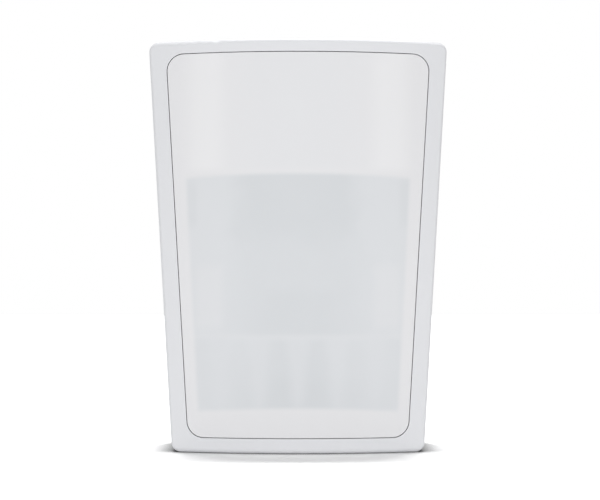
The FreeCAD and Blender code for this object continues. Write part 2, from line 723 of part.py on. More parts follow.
def cover_screw():
    """Screw that goes up through the cover's lower wall into the tongue."""
    seat = COVER_HEAD_RECESS - HALF_HEIGHT
    head = screw_column(COVER_HEAD_DIAMETER, (seat - COVER_HEAD_HEIGHT, seat))
    shank = screw_column(COVER_SCREW_DIAMETER, (seat, seat + COVER_SCREW_LENGTH))
    low = seat - COVER_HEAD_HEIGHT
    across = (SCREW_SLOT_LENGTH, SCREW_SLOT_WIDTH)
    slots = []
    for x_size, depth_size in (across, across[::-1]):
        depths = (COVER_SCREW_DEPTH - depth_size / 2, COVER_SCREW_DEPTH + depth_size / 2)
        slots.append(box((-x_size / 2, x_size / 2), depths, (low - 1, low + SCREW_SLOT_DEPTH)))
    return head.fuse(shank).cut(slots).removeSplitter()


def sensor_depths():
    """Depths of the sensor's flange: its back and its front."""
    back = BOARD_FRONT + SENSOR_STANDOFF
    return back, back + SENSOR_FLANGE_THICKNESS


def sensor_base():
    """The sensor's round base with its three leads through the board."""
    back, front = sensor_depths()
    place = (0, SENSOR_HEIGHT)
    base = peg(place, SENSOR_FLANGE_DIAMETER, (back, front))
    tab_reach = SENSOR_FLANGE_DIAMETER / 2 * math.sqrt(0.5)
    tab_place = (-tab_reach, SENSOR_HEIGHT - tab_reach)
    tab = centred_box(tab_place, SENSOR_TAB_SIZE, SENSOR_TAB_SIZE, (back, front))
    tail = BOARD_BACK - SENSOR_LEAD_TAIL
    leads = [peg(lead, SENSOR_LEAD_DIAMETER, (tail, front)) for lead in sensor_lead_places()]
    return fuse_all([base, tab] + leads)


def sensor_can():
    """Metal can over the sensor, open in front for its filter."""
    front = sensor_depths()[1]
    place = (0, SENSOR_HEIGHT)
    can = peg(place, SENSOR_CAN_DIAMETER, (front, front + SENSOR_CAN_HEIGHT))
    can = can.makeChamfer(SENSOR_CAN_WALL / 2, rim_at(can, front + SENSOR_CAN_HEIGHT))
    inner = SENSOR_CAN_DIAMETER - 2 * SENSOR_CAN_WALL
    hollow = peg(place, inner, (front - 1, front + SENSOR_CAN_HEIGHT - SENSOR_CAN_WALL))
    opening = centred_box(place, *SENSOR_WINDOW, (front, front + SENSOR_CAN_HEIGHT + 1))
    return can.cut([hollow, opening])


def sensor_filter():
    """Flat filter plate behind the opening of the can."""
    front = sensor_depths()[1] + SENSOR_CAN_HEIGHT - SENSOR_CAN_WALL
    width, height = SENSOR_WINDOW
    place = (0, SENSOR_HEIGHT)
    margin = 2 * SENSOR_FILTER_MARGIN
    return centred_box(place, width + margin, height + margin, (front - SENSOR_FILTER_THICKNESS, front))


def status_led():
    """Flat light below the sensor, with a round well in its face."""
    top = BOARD_FRONT + LED_SIZE[2]
    body = centred_box((0, LED_HEIGHT), LED_SIZE[0], LED_SIZE[1], (BOARD_FRONT, top))
    return body.cut(peg((0, LED_HEIGHT), LED_WELL_DIAMETER, (top - LED_WELL_DEPTH, top + 1)))


def cell_cylinder(diameter, x_range):
    """Cylinder across the part on the battery's axis."""
    start = Vector(x_range[0], -CELL_DEPTH, CELL_HEIGHT)
    return Part.makeCylinder(diameter / 2, x_range[1] - x_range[0], start, Vector(1, 0, 0))


def battery_cell():
    """Round cell with its button end to the right."""
    half = CELL_LENGTH / 2
    shoulder = half - CELL_BUTTON_LENGTH
    body = cell_cylinder(CELL_DIAMETER, (-half, shoulder))
    ends = [edge for edge in body.Edges if len(edge.Vertexes) == 1]
    body = body.makeChamfer(CELL_BUTTON_LENGTH / 2, ends)
    return fuse_all([body, cell_cylinder(CELL_BUTTON_DIAMETER, (shoulder - 1, half))])


def contact_faces():
    """Inner faces of the two contact plates, left and right."""
    left = -CELL_LENGTH / 2 - CONTACT_GAP - CONTACT_SPRING_LENGTH
    return left, CELL_LENGTH / 2 + CONTACT_GAP


def battery_holder():
    """Cradle with end walls that the battery lies in."""
    left, right = contact_faces()
    ends = (left - CONTACT_THICKNESS - CONTACT_GAP, right + CONTACT_THICKNESS + CONTACT_GAP)
    room = CELL_DIAMETER / 2 + CELL_CLEARANCE
    half = room + HOLDER_WALL
    depths = (BOARD_FRONT, BOARD_FRONT + HOLDER_REACH)
    z_range = (CELL_HEIGHT - half, CELL_HEIGHT + half)
    block = box((ends[0] - HOLDER_WALL, ends[1] + HOLDER_WALL), depths, z_range)
    trough = cell_cylinder(2 * room, ends)
    front = box(ends, (CELL_DEPTH, depths[1] + 1), (CELL_HEIGHT - room, CELL_HEIGHT + room))
    notch = box((-HOLDER_NOTCH / 2, HOLDER_NOTCH / 2), (CELL_DEPTH - HOLDER_WALL, depths[1] + 1),
                (z_range[0] - 1, z_range[1] + 1))
    slots = []
    for face, side in ((left, -1), (right, 1)):
        edge = face + side * CONTACT_THICKNESS
        x_range = (min(face, edge) - CONTACT_GAP, max(face, edge) + CONTACT_GAP)
        width = CONTACT_WIDTH + 2 * CONTACT_GAP
        slots.append(box(x_range, (BOARD_FRONT - 1, depths[1] + 1),
                         (CELL_HEIGHT - width / 2, CELL_HEIGHT + width / 2)))
    return block.cut([trough, front, notch] + slots).removeSplitter()


def contact_plate(face, side):
    """Upright contact plate that stands on the board in the holder's end slot."""
    edge = face + side * CONTACT_THICKNESS
    z_range = (CELL_HEIGHT - CONTACT_WIDTH / 2, CELL_HEIGHT + CONTACT_WIDTH / 2)
    return box((min(face, edge), max(face, edge)), (BOARD_FRONT, BOARD_FRONT + HOLDER_REACH), z_range)


def battery_contact_positive():
    """Flat contact plate at the button end."""
    return contact_plate(contact_faces()[1], 1)


def battery_contact_negative():
    """Contact plate with a bowed leaf that presses on the flat end of the cell."""
    face = contact_faces()[0]
    plate = contact_plate(face, -1)
    tip = -CELL_LENGTH / 2 - CONTACT_GAP
    low = BOARD_FRONT + 2 * HOLDER_WALL
    high = BOARD_FRONT + HOLDER_REACH
    middle = (low + high) / 2
    slant = CONTACT_THICKNESS * (high - low) / 2 / CONTACT_SPRING_LENGTH
    outline = [(face, high), (tip, middle), (face, low)]
    outline += [(face, low + slant), (tip - CONTACT_THICKNESS, middle), (face, high - slant)]
    points = [Vector(x, -depth, CELL_HEIGHT - CONTACT_LEAF_WIDTH / 2) for x, depth in outline]
    leaf = Part.Face(Part.makePolygon(points + points[:1])).extrude(Vector(0, 0, CONTACT_LEAF_WIDTH))
    return fuse_all([plate, leaf])


def controller_chip():
    """Flat chip with a row of bent legs along each side."""
    x, z = CHIP_PLACE
    width, height, thickness = CHIP_SIZE
    reach, leg_width, leg_height = CHIP_LEG_SIZE
    lift = leg_width / 2
    body = centred_box(CHIP_PLACE, width, height, (BOARD_FRONT + lift, BOARD_FRONT + thickness))
    shapes = [body]
    for index in range(CHIP_LEGS):
        leg_z = z + CHIP_LEG_PITCH * (index - (CHIP_LEGS - 1) / 2)
        for side in (-1, 1):
            foot_x = x + side * (width / 2 + reach / 2)
            foot = (BOARD_FRONT, BOARD_FRONT + lift)
            shapes.append(centred_box((foot_x, leg_z), reach, leg_width, foot))
            knee = (BOARD_FRONT, BOARD_FRONT + leg_height)
            knee_x = x + side * (width + lift) / 2
            shapes.append(centred_box((knee_x, leg_z), 2 * lift, leg_width, knee))
    return fuse_all(shapes)


def storage_capacitor():
    """Round aluminium capacitor on a square foot."""
    height = CAPACITOR_LEVEL * HALF_HEIGHT
    place = (CAPACITOR_INSET - half_width(height), height)
    foot = centred_box(place, CAPACITOR_DIAMETER, CAPACITOR_DIAMETER,
                       (BOARD_FRONT, BOARD_FRONT + CAPACITOR_BASE_HEIGHT))
    can = peg(place, CAPACITOR_DIAMETER, (BOARD_FRONT, BOARD_FRONT + CAPACITOR_HEIGHT))
    rim = rim_at(can, BOARD_FRONT + CAPACITOR_HEIGHT)
    return fuse_all([foot, can.makeChamfer(CAPACITOR_BASE_HEIGHT / 2, rim)])


def radio_module():
    """Small radio board soldered flat on the main board."""
    width, height, thickness = RADIO_SIZE
    return centred_box(RADIO_PLACE, width, height, (BOARD_FRONT, BOARD_FRONT + thickness))


def radio_shield():
    """Thin metal lid over the radio's parts."""
    width, height, tall = SHIELD_SIZE
    floor = BOARD_FRONT + RADIO_SIZE[2]
    lid = centred_box(RADIO_PLACE, width, height, (floor, floor + tall))
    walls = 2 * SHIELD_WALL
    depths = (floor - 1, floor + tall - SHIELD_WALL)
    return lid.cut(centred_box(RADIO_PLACE, width - walls, height - walls, depths))


def antenna_strip():
    """Stamped metal strip that rises from the board and runs up beside the chamber."""
    z = ANTENNA_LEVEL * HALF_HEIGHT
    x = half_width(z) - ANTENNA_INSET
    rise = BOARD_FRONT + ANTENNA_RISE
    x_range = (x - ANTENNA_WIDTH / 2, x + ANTENNA_WIDTH / 2)
    run = box(x_range, (rise, rise + ANTENNA_THICKNESS), (z, z + ANTENNA_LENGTH))
    feet = []
    for foot in (z, z + ANTENNA_FOOT_SPACING):
        feet.append(box(x_range, (BOARD_FRONT, rise + ANTENNA_THICKNESS), (foot, foot + ANTENNA_THICKNESS)))
    return fuse_all([run] + feet)


def jumper_header():
    """Row of square pins in a plastic strip."""
    base = centred_box(HEADER_PLACE, HEADER_PITCH * HEADER_PINS, HEADER_PITCH,
                       (BOARD_FRONT, BOARD_FRONT + HEADER_BASE_HEIGHT))
    depths = (BOARD_FRONT, BOARD_FRONT + HEADER_PIN_HEIGHT)
    pins = [centred_box(place, HEADER_PIN_SIZE, HEADER_PIN_SIZE, depths) for place in header_pin_places()]
    return fuse_all([base] + pins)


def jumper_cap():
    """Cap that bridges two of the pins to choose the pet setting."""
    first, second = header_pin_places()[:2]
    place = ((first[0] + second[0]) / 2, first[1])
    start = BOARD_FRONT + HEADER_BASE_HEIGHT + JUMPER_CAP_LIFT
    width = 2 * HEADER_PITCH - 2 * MOVING_CLEARANCE
    cap = centred_box(place, width, HEADER_PITCH, (start, start + JUMPER_CAP_HEIGHT))
    pin = HEADER_PIN_SIZE + 2 * HOLE_CLEARANCE
    depths = (start - 1, BOARD_FRONT + HEADER_PIN_HEIGHT + JUMPER_CAP_LIFT)
    return cap.cut([centred_box(spot, pin, pin, depths) for spot in (first, second)])


def guided_body(place, size, height, bore, bore_depth):
    """Square switch body with a round bore for its moving piece."""
    top = BOARD_FRONT + height
    body = centred_box(place, size, size, (BOARD_FRONT, top))
    return body.cut(peg(place, bore, (top - bore_depth, top + 1)))


def enrol_button_body():
    """Body of the push button that enrols the detector."""
    bore = BUTTON_CAP_DIAMETER + 2 * MOVING_CLEARANCE
    depth = BUTTON_ENGAGEMENT + BUTTON_TRAVEL + SEAT_CLEARANCE
    return guided_body(BUTTON_PLACE, BUTTON_SIZE, BUTTON_BODY_HEIGHT, bore, depth)


def enrol_button_cap():
    """Round cap of the push button."""
    top = BOARD_FRONT + BUTTON_BODY_HEIGHT
    return peg(BUTTON_PLACE, BUTTON_CAP_DIAMETER, (top - BUTTON_ENGAGEMENT, top + BUTTON_CAP_RISE))


def tamper_switch_body():
    """Body of the switch that tells when the cover comes off."""
    bore = TAMPER_PLUNGER_DIAMETER + 2 * MOVING_CLEARANCE
    depth = TAMPER_ENGAGEMENT + TAMPER_TRAVEL + SEAT_CLEARANCE
    return guided_body(TAMPER_PLACE, TAMPER_SIZE, TAMPER_BODY_HEIGHT, bore, depth)


def tamper_plunger():
    """Sprung plunger of the tamper switch."""
    top = BOARD_FRONT + TAMPER_BODY_HEIGHT
    return peg(TAMPER_PLACE, TAMPER_PLUNGER_DIAMETER, (top - TAMPER_ENGAGEMENT, top + TAMPER_PLUNGER_RISE))


PIECES = (
    back_plate, front_housing, lens_window, lens_retainer, optics_chamber, sensor_gasket, circuit_board,
    board_screws, cover_screw, sensor_base, sensor_can, sensor_filter, status_led, battery_cell,
    battery_holder, battery_contact_positive, battery_contact_negative, controller_chip,
    storage_capacitor, radio_module, radio_shield, antenna_strip, jumper_header, jumper_cap,
    enrol_button_body, enrol_button_cap, tamper_switch_body, tamper_plunger,
)

os.makedirs("parts", exist_ok=True)
for piece in PIECES:
    piece().exportStep(f"parts/{piece.__name__}.step")
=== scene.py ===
import math

import bpy
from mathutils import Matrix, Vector


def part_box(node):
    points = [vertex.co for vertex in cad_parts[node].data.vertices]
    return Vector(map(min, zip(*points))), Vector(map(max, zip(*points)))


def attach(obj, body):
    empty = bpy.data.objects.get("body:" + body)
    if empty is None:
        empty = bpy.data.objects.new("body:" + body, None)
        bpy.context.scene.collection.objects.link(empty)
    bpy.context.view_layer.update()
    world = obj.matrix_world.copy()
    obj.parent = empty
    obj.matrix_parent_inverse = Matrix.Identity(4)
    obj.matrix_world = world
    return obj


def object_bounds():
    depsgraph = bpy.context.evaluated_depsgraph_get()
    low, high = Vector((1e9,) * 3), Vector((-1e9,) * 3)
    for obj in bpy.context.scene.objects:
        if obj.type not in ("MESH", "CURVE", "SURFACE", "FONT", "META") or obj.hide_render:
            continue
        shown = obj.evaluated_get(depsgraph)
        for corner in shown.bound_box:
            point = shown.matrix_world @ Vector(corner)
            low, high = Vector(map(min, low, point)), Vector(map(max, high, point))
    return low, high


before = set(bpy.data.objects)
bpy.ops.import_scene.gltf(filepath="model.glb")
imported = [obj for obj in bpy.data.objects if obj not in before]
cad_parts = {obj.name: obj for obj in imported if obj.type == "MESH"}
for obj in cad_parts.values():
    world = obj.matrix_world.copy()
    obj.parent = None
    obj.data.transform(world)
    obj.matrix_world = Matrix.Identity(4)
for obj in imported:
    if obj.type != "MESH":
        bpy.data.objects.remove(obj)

bl_info = {
    "name": "Motion detector looks",
    "version": (1, 0, 0),
    "blender": (4, 5, 0),
    "location": "View3D > Sidebar > Detector",
    "description": "Finishes, small board parts and studio for a wall motion detector",
    "category": "Object",
}

MM = 0.001
# Farther off than any part of the detector, for a band that is open on one side
FAR = 1.0
CAD_LOW, CAD_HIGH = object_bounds()
BOARD_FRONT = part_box("circuit_board")[0].y
# A Mix node's inputs and its colour output, by number because their names repeat
FACTOR, FIRST_NUMBER, SECOND_NUMBER, FIRST_COLOUR, SECOND_COLOUR = 0, 2, 3, 6, 7
MIXED_COLOUR = 2


def linear(code):
    """An sRGB hex colour as linear red, green and blue."""
    values = [int(code[i:i + 2], 16) / 255 for i in (0, 2, 4)]
    return tuple(v / 12.92 if v <= 0.04045 else ((v + 0.055) / 1.055) ** 2.4 for v in values)


def opaque(colour):
    """A colour with full alpha, as a colour socket takes it."""
    return (*colour[:3], 1.0)


def add(tree, kind, inputs=None, **settings):
    """Adds a node with its settings and links.

    Each input is a value, a socket, or a node, which gives its first output in use.
    """
    made = tree.nodes.new(kind)
    for name, value in settings.items():
        setattr(made, name, value)
    for key, value in (inputs or {}).items():
        if isinstance(value, bpy.types.Node):
            value = next(socket for socket in value.outputs if socket.enabled)
        if isinstance(value, bpy.types.NodeSocket):
            tree.links.new(value, made.inputs[key])
        else:
            made.inputs[key].default_value = value
    return made


# ---------------------------------------------------------------- sizes and colours

class HousingLooks(bpy.types.PropertyGroup):
    """What a user would change on the moulded housing"""
    shade: bpy.props.FloatVectorProperty(
        name="Housing", description="Colour of the moulded white ABS", size=3, subtype="COLOR",
        min=0, max=1, default=linear("E3E4E7"))
    grain: bpy.props.FloatProperty(
        name="Grain", description="Width of one dimple of the spark-eroded texture",
        default=0.35 * MM, min=0.05 * MM, max=2 * MM, unit="LENGTH", precision=5)


class WindowLooks(bpy.types.PropertyGroup):
    """What a user would change on the lens window"""
    clear: bpy.props.FloatVectorProperty(
        name="Window", description="Colour of the milky window over the white cover", size=3,
        subtype="COLOR", min=0, max=1, default=linear("E5E5E7"))
    behind: bpy.props.FloatVectorProperty(
        name="Optics", description="Colour of the window over the open optics", size=3,
        subtype="COLOR", min=0, max=1, default=linear("DDDFE2"))
    deep: bpy.props.FloatVectorProperty(
        name="Shadow", description="Colour of the window where its shadows are deepest", size=3,
        subtype="COLOR", min=0, max=1, default=linear("C9CDD0"))
    shadow: bpy.props.FloatProperty(
        name="Show-through", description="How strongly the zones' shadows show", default=0.45, min=0, max=1)
    lens_top: bpy.props.FloatProperty(
        name="Lens top", description="Height of the top of the lens zones above the middle",
        default=18.1 * MM, unit="LENGTH", precision=5)
    row_depths: bpy.props.FloatVectorProperty(
        name="Rows", description="Heights of the three rows of zones, from the top", size=3,
        default=(22.6 * MM, 18.2 * MM, 18.1 * MM), unit="LENGTH", precision=5)
    blur: bpy.props.FloatProperty(
        name="Blur", description="Width over which the milky plastic blurs an edge behind it",
        default=1.6 * MM, min=0.1 * MM, max=5 * MM, unit="LENGTH", precision=5)


class BoardLooks(bpy.types.PropertyGroup):
    """What a user would change on the circuit board"""
    mask: bpy.props.FloatVectorProperty(
        name="Solder mask", description="Colour of the solder mask", size=3, subtype="COLOR",
        min=0, max=1, default=linear("1F5A38"))
    chip_size: bpy.props.FloatVectorProperty(
        name="Chip parts", description="Length, width and height of one small chip part", size=3,
        default=(1.6 * MM, 0.8 * MM, 0.45 * MM), unit="LENGTH", precision=5)
    chip_pitch: bpy.props.FloatProperty(
        name="Chip pitch", description="Distance between the rows of chip parts",
        default=2.54 * MM, unit="LENGTH", precision=5)


class StudioLooks(bpy.types.PropertyGroup):
    """What a user would change in the studio"""
    daylight: bpy.props.FloatProperty(
        name="Daylight", description="Strength of the even light from all round", default=0.28,
        min=0, max=2)
    front_light: bpy.props.FloatProperty(
        name="Front light", description="Strength of the broad light behind the camera", default=1.0,
        min=0, max=5)
    camera_light: bpy.props.FloatProperty(
        name="Camera light", description="Strength of the soft box behind the camera", default=1.28,
        min=0, max=10)
    top_light: bpy.props.FloatProperty(
        name="Top light", description="Strength of the two soft lights from above and behind", default=2.2,
        min=0, max=10)


# ---------------------------------------------------------------- materials

def new_material(name):
    """An empty node material and its shader, linked to its output."""
    material = bpy.data.materials.new(name)
    material.use_nodes = True
    tree = material.node_tree
    tree.nodes.clear()
    shader = add(tree, "ShaderNodeBsdfPrincipled")
    add(tree, "ShaderNodeOutputMaterial", {"Surface": shader.outputs["BSDF"]})
    return material, tree, shader


def place(tree):
    """Object coordinates in metres: the whole vector, and its x, y and z."""
    whole = add(tree, "ShaderNodeTexCoord").outputs["Object"]
    parts = add(tree, "ShaderNodeSeparateXYZ", {0: whole})
    return whole, parts.outputs["X"], parts.outputs["Y"], parts.outputs["Z"]


def band(tree, value, low, high, blur):
    """A mask that is one between two limits and nothing outside them, with blurred edges."""
    edges = []
    for edge in (low, high):
        edges.append(add(tree, "ShaderNodeMapRange", {
            "Value": value, "From Min": edge - blur / 2, "From Max": edge + blur / 2},
            interpolation_type="SMOOTHSTEP"))
    return add(tree, "ShaderNodeMath", {0: edges[0], 1: edges[1]}, operation="SUBTRACT")


def patch(tree, strength, across, sides, side_blur, height, ends, end_blur):
    """A soft-edged patch of shade: its strength, then the masks that bound it across and in height."""
    return strength, band(tree, across, *sides, side_blur), band(tree, height, *ends, end_blur)


def layered(tree, patches):
    """Sum of patches, each a strength and the masks that it is multiplied by."""
    total = 0.0
    for strength, *masks in patches:
        for mask in masks:
            strength = add(tree, "ShaderNodeMath", {0: strength, 1: mask}, operation="MULTIPLY")
        total = add(tree, "ShaderNodeMath", {0: strength, 1: total}, operation="ADD")
    return total


def tinted(tree, colour, layers):
    """A colour with tints laid over it in turn, each by its own amount."""
    for amount, tint in layers:
        colour = add(tree, "ShaderNodeMix", {
            FACTOR: amount, FIRST_COLOUR: colour, SECOND_COLOUR: opaque(tint)}, data_type="RGBA")
    return colour


def grain_bump(tree, shader, where, size, height):
    """Gives a surface an even fine relief with dimples of a real size."""
    noise = add(tree, "ShaderNodeTexNoise", {"Vector": where, "Scale": 1 / size, "Detail": 2.0})
    bump = add(tree, "ShaderNodeBump", {"Strength": 0.35, "Distance": height, "Height": noise})
    tree.links.new(bump.outputs[0], shader.inputs["Normal"])


def mottle(tree, shader, where, colour, size, amount):
    """Varies a colour slightly over a real distance, as a moulding's surface does."""
    noise = add(tree, "ShaderNodeTexNoise", {"Vector": where, "Scale": 1 / size, "Detail": 3.0})
    darker = [v * (1 - amount) for v in colour[:3]]
    mixed = tinted(tree, opaque(colour), [(noise, darker)])
    tree.links.new(mixed.outputs[MIXED_COLOUR], shader.inputs["Base Color"])


def plain(name, colour, roughness, grain, height, metallic=0.0, ior=1.5, variation=0.04):
    """A material with a real grain, a faint change of shade and an even gloss."""
    material, tree, shader = new_material(name)
    where = place(tree)[0]
    mottle(tree, shader, where, colour, 6 * MM, variation)
    grain_bump(tree, shader, where, grain, height)
    shader.inputs["Roughness"].default_value = roughness
    shader.inputs["Metallic"].default_value = metallic
    if not metallic:
        shader.inputs["IOR"].default_value = ior
    return material


def two_part(name, first, second, axis, edge, roughness, metallic):
    """Two finishes on one piece, the second beyond a place along an axis, as on pins and their body."""
    material, tree, shader = new_material(name)
    where, *along = place(tree)
    here = along["XYZ".index(axis)]
    beyond = add(tree, "ShaderNodeMath", {0: here, 1: edge}, operation="GREATER_THAN").outputs[0]
    mixed = tinted(tree, opaque(first), [(beyond, second)])
    tree.links.new(mixed.outputs[MIXED_COLOUR], shader.inputs["Base Color"])
    for socket, (near, far) in (("Roughness", roughness), ("Metallic", metallic)):
        made = add(tree, "ShaderNodeMapRange", {"Value": beyond, "To Min": near, "To Max": far})
        tree.links.new(made.outputs[0], shader.inputs[socket])
    grain_bump(tree, shader, where, 0.2 * MM, 0.01 * MM)
    return material


def moulded_abs(looks):
    """White ABS from a spark-eroded mould: a satin surface whose fine dimples break up highlights."""
    material, tree, shader = new_material("moulded_white_abs")
    where = place(tree)[0]
    mottle(tree, shader, where, looks.shade, 30 * MM, 0.012)
    grain_bump(tree, shader, where, looks.grain, 0.012 * MM)
    shader.inputs["Roughness"].default_value = 0.48
    shader.inputs["IOR"].default_value = 1.54
    return material


def row_limits(looks):
    """Heights at which the rows of lens zones begin and end, from the top down."""
    limits = [looks.lens_top]
    for depth in looks.row_depths:
        limits.append(limits[-1] - depth)
    return limits


def hood_opening(tree, looks, x, across, z):
    """The opening of the hood behind the window: a trapezoid whose top edge bows up."""
    # Half its width at the middle's height, how much each side draws in for its height, and how fast the top
    # edge falls towards the sides, in metres for a square metre
    half_width, draw_in, fall = 27.4 * MM, 0.0545, 1.3
    top, *_, bottom = row_limits(looks)
    bow = add(tree, "ShaderNodeMath", {0: x, 1: x}, operation="MULTIPLY")
    bow = add(tree, "ShaderNodeMath", {0: bow, 1: fall, 2: z}, operation="MULTIPLY_ADD")
    taper = add(tree, "ShaderNodeMath", {0: z, 1: -draw_in, 2: across}, operation="MULTIPLY_ADD")
    return layered(tree, [
        (1.0, band(tree, bow, bottom, top, looks.blur), band(tree, taper, -FAR, half_width, looks.blur))])


def upper_shadows(tree, looks, cloud, across, z):
    """Upper and middle rows: darker towards the middle, most of all in a ragged cloud at the top."""
    top, first, second, _ = row_limits(looks)
    # How far the cloud's noise moves an edge, sideways and up
    ragged = add(tree, "ShaderNodeMath", {0: cloud, 1: 8 * MM, 2: across}, operation="MULTIPLY_ADD")
    sunk = add(tree, "ShaderNodeMath", {0: cloud, 1: -14 * MM, 2: z}, operation="MULTIPLY_ADD")
    both_rows = patch(
        tree, 0.5 * looks.shadow, across=ragged, sides=(-FAR, 20 * MM), side_blur=12 * MM,
        height=z, ends=(second, top), end_blur=2 * MM)
    ragged_top = patch(
        tree, 0.35 * looks.shadow, across=ragged, sides=(-FAR, 18.5 * MM), side_blur=7 * MM,
        height=sunk, ends=(-5 * MM, FAR), end_blur=11 * MM)
    ragged_top = (*ragged_top, band(tree, z, first, top, 2 * MM))
    foot = patch(
        tree, 0.25 * looks.shadow, across=ragged, sides=(-FAR, 13 * MM), side_blur=8 * MM,
        height=z, ends=(second, second + 11 * MM), end_blur=5 * MM)
    outer_ends = patch(
        tree, 0.35 * looks.shadow, across=across, sides=(25.6 * MM, 28 * MM), side_blur=1.6 * MM,
        height=z, ends=(5 * MM, 16.5 * MM), end_blur=4 * MM)
    return [both_rows, ragged_top, foot, outer_ends]


def lower_shadows(tree, looks, x, across, z):
    """Lower row: a broad shadow between each two zones, which widens and deepens towards its foot."""
    # Half a zone's width, and how much a shadow widens for its height
    half_zone, widening = 4.9 * MM, 0.14
    *_, second, bottom = row_limits(looks)
    near = add(tree, "ShaderNodeMath", {0: x, 1: half_zone}, operation="ADD")
    near = add(tree, "ShaderNodeMath", {0: near, 1: half_zone}, operation="PINGPONG")
    near = add(tree, "ShaderNodeMath", {0: z, 1: widening, 2: near}, operation="MULTIPLY_ADD")
    # The shadows grow fainter towards the window's sides
    inward = add(tree, "ShaderNodeMapRange", {
        "Value": across, "From Min": 4 * MM, "From Max": 18 * MM, "To Min": 1.0, "To Max": 0.28})
    row = band(tree, z, bottom, second - 1 * MM, 2.4 * MM)
    ground = (0.2 * looks.shadow, inward, row)
    fingers = (0.45 * looks.shadow, inward, band(tree, near, -FAR, -1.4 * MM, 3.2 * MM), row)
    strength, *masks = patch(
        tree, 0.25 * looks.shadow, across=near, sides=(-FAR, -3 * MM), side_blur=2.4 * MM,
        height=z, ends=(bottom + 0.6 * MM, bottom + 8 * MM), end_blur=6 * MM)
    return [ground, fingers, (strength, inward, *masks)]


def milky_hdpe(looks):
    """Moulded HDPE window: satin and milky, so the optics behind it show only as blurred shades, which are
    painted shade in its colour.
    """
    material, tree, shader = new_material("milky_hdpe_window")
    where, x, _, z = place(tree)
    _, first, second, _ = row_limits(looks)
    across = add(tree, "ShaderNodeMath", {0: x}, operation="ABSOLUTE")
    cloud = add(tree, "ShaderNodeTexNoise", {"Vector": where, "Scale": 1 / (9 * MM), "Detail": 2.0})

    # Painted shade: the shadows of the optics behind the window, laid into its colour
    shadow = layered(tree, [
        *upper_shadows(tree, looks, cloud, across, z), *lower_shadows(tree, looks, x, across, z), (0.1, cloud)])
    # Less painted shade: a lighter block at each end of the middle row, and the lighter seam under it
    blocks = patch(
        tree, 0.3, across=across, sides=(19 * MM, 25.8 * MM), side_blur=3 * MM,
        height=z, ends=(second + 2 * MM, first - 0.5 * MM), end_blur=4 * MM)
    seam = (0.12, band(tree, z, second - 0.6 * MM, second + 0.6 * MM, 1.2 * MM))
    over_optics = tinted(tree, opaque(looks.behind), [
        (shadow, looks.deep), (layered(tree, [blocks, seam]), looks.clear)])

    # Upper part of the window, over the white cover: a painted highlight as a soft lighter stripe near each
    # side, and painted shade that makes the middle duller
    highlight_tint = [v + (1 - v) * 0.16 for v in looks.clear]
    painted_side_highlights = patch(
        tree, 1.0, across=across, sides=(19 * MM, 27.5 * MM), side_blur=6 * MM,
        height=z, ends=(19 * MM, FAR), end_blur=3 * MM)
    painted_middle_shade = patch(
        tree, 0.3, across=across, sides=(-FAR, 14 * MM), side_blur=16 * MM,
        height=z, ends=(19 * MM, FAR), end_blur=3 * MM)
    over_cover = tinted(tree, opaque(looks.clear), [
        (layered(tree, [painted_side_highlights]), highlight_tint), (layered(tree, [painted_middle_shade]), looks.behind)])

    colour = add(tree, "ShaderNodeMix", {
        FACTOR: hood_opening(tree, looks, x, across, z), FIRST_COLOUR: over_cover, SECOND_COLOUR: over_optics},
        data_type="RGBA")
    tree.links.new(colour.outputs[MIXED_COLOUR], shader.inputs["Base Color"])
    grain_bump(tree, shader, where, 0.5 * MM, 0.004 * MM)
    shader.inputs["Roughness"].default_value = 0.42
    shader.inputs["IOR"].default_value = 1.54
    return material


def printed_board(looks):
    """Glass-epoxy board under green solder mask: tracks stand out as faint lighter lines."""
    material, tree, shader = new_material("solder_masked_board")
    where = place(tree)[0]
    turned = add(tree, "ShaderNodeMapping", {"Vector": where, "Rotation": (math.radians(90), 0, 0)})
    lanes = add(tree, "ShaderNodeTexBrick", {
        "Vector": turned, "Scale": 1 / (5.08 * MM), "Mortar Size": 0.035, "Mortar Smooth": 0.2,
        "Color1": opaque(looks.mask), "Color2": opaque([v * 0.9 for v in looks.mask]),
        "Mortar": opaque([min(1, v * 1.7) for v in looks.mask])})
    tree.links.new(lanes.outputs["Color"], shader.inputs["Base Color"])
    # The relief is the thickness of the copper under the mask
    bump = add(tree, "ShaderNodeBump", {
        "Strength": 0.3, "Distance": 0.035 * MM, "Height": lanes.outputs["Fac"]})
    tree.links.new(bump.outputs[0], shader.inputs["Normal"])
    shader.inputs["Roughness"].default_value = 0.32
    shader.inputs["IOR"].default_value = 1.52
    return material


def seen_rays(tree):
    """One for the rays by which the camera sees a surface, straight, in a gloss or through glass."""
    path = add(tree, "ShaderNodeLightPath").outputs
    seen = path["Is Camera Ray"]
    for kind in ("Is Glossy Ray", "Is Transmission Ray"):
        seen = add(tree, "ShaderNodeMath", {0: seen, 1: path[kind]}, operation="MAXIMUM")
    return seen


def paint(material, *names):
    """Gives CAD nodes a finish through their own material slots."""
    for name in names:
        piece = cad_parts[name]
        if not piece.material_slots:
            piece.data.materials.append(material)
        for slot in piece.material_slots:
            slot.material = material


# ---------------------------------------------------------------- operators

class DETECTOR_OT_housing(bpy.types.Operator):
    """Finish the cover, the back plate and the frame behind the window"""
    bl_idname = "detector.housing"
    bl_label = "Housing"

    def execute(self, context):
        looks = context.scene.detector_housing
        paint(moulded_abs(looks), "front_housing", "back_plate")
        # Plain ABS from a polished mould: smooth and slightly glossy
        paint(plain("plain_white_abs", linear("DADADA"), 0.4, 1.2 * MM, 0.006 * MM, ior=1.54),
              "lens_retainer")
        return {"FINISHED"}


class DETECTOR_OT_window(bpy.types.Operator):
    """Finish the milky lens window"""
    bl_idname = "detector.window"
    bl_label = "Lens window"

    def execute(self, context):
        paint(milky_hdpe(context.scene.detector_window), "lens_window")
        return {"FINISHED"}


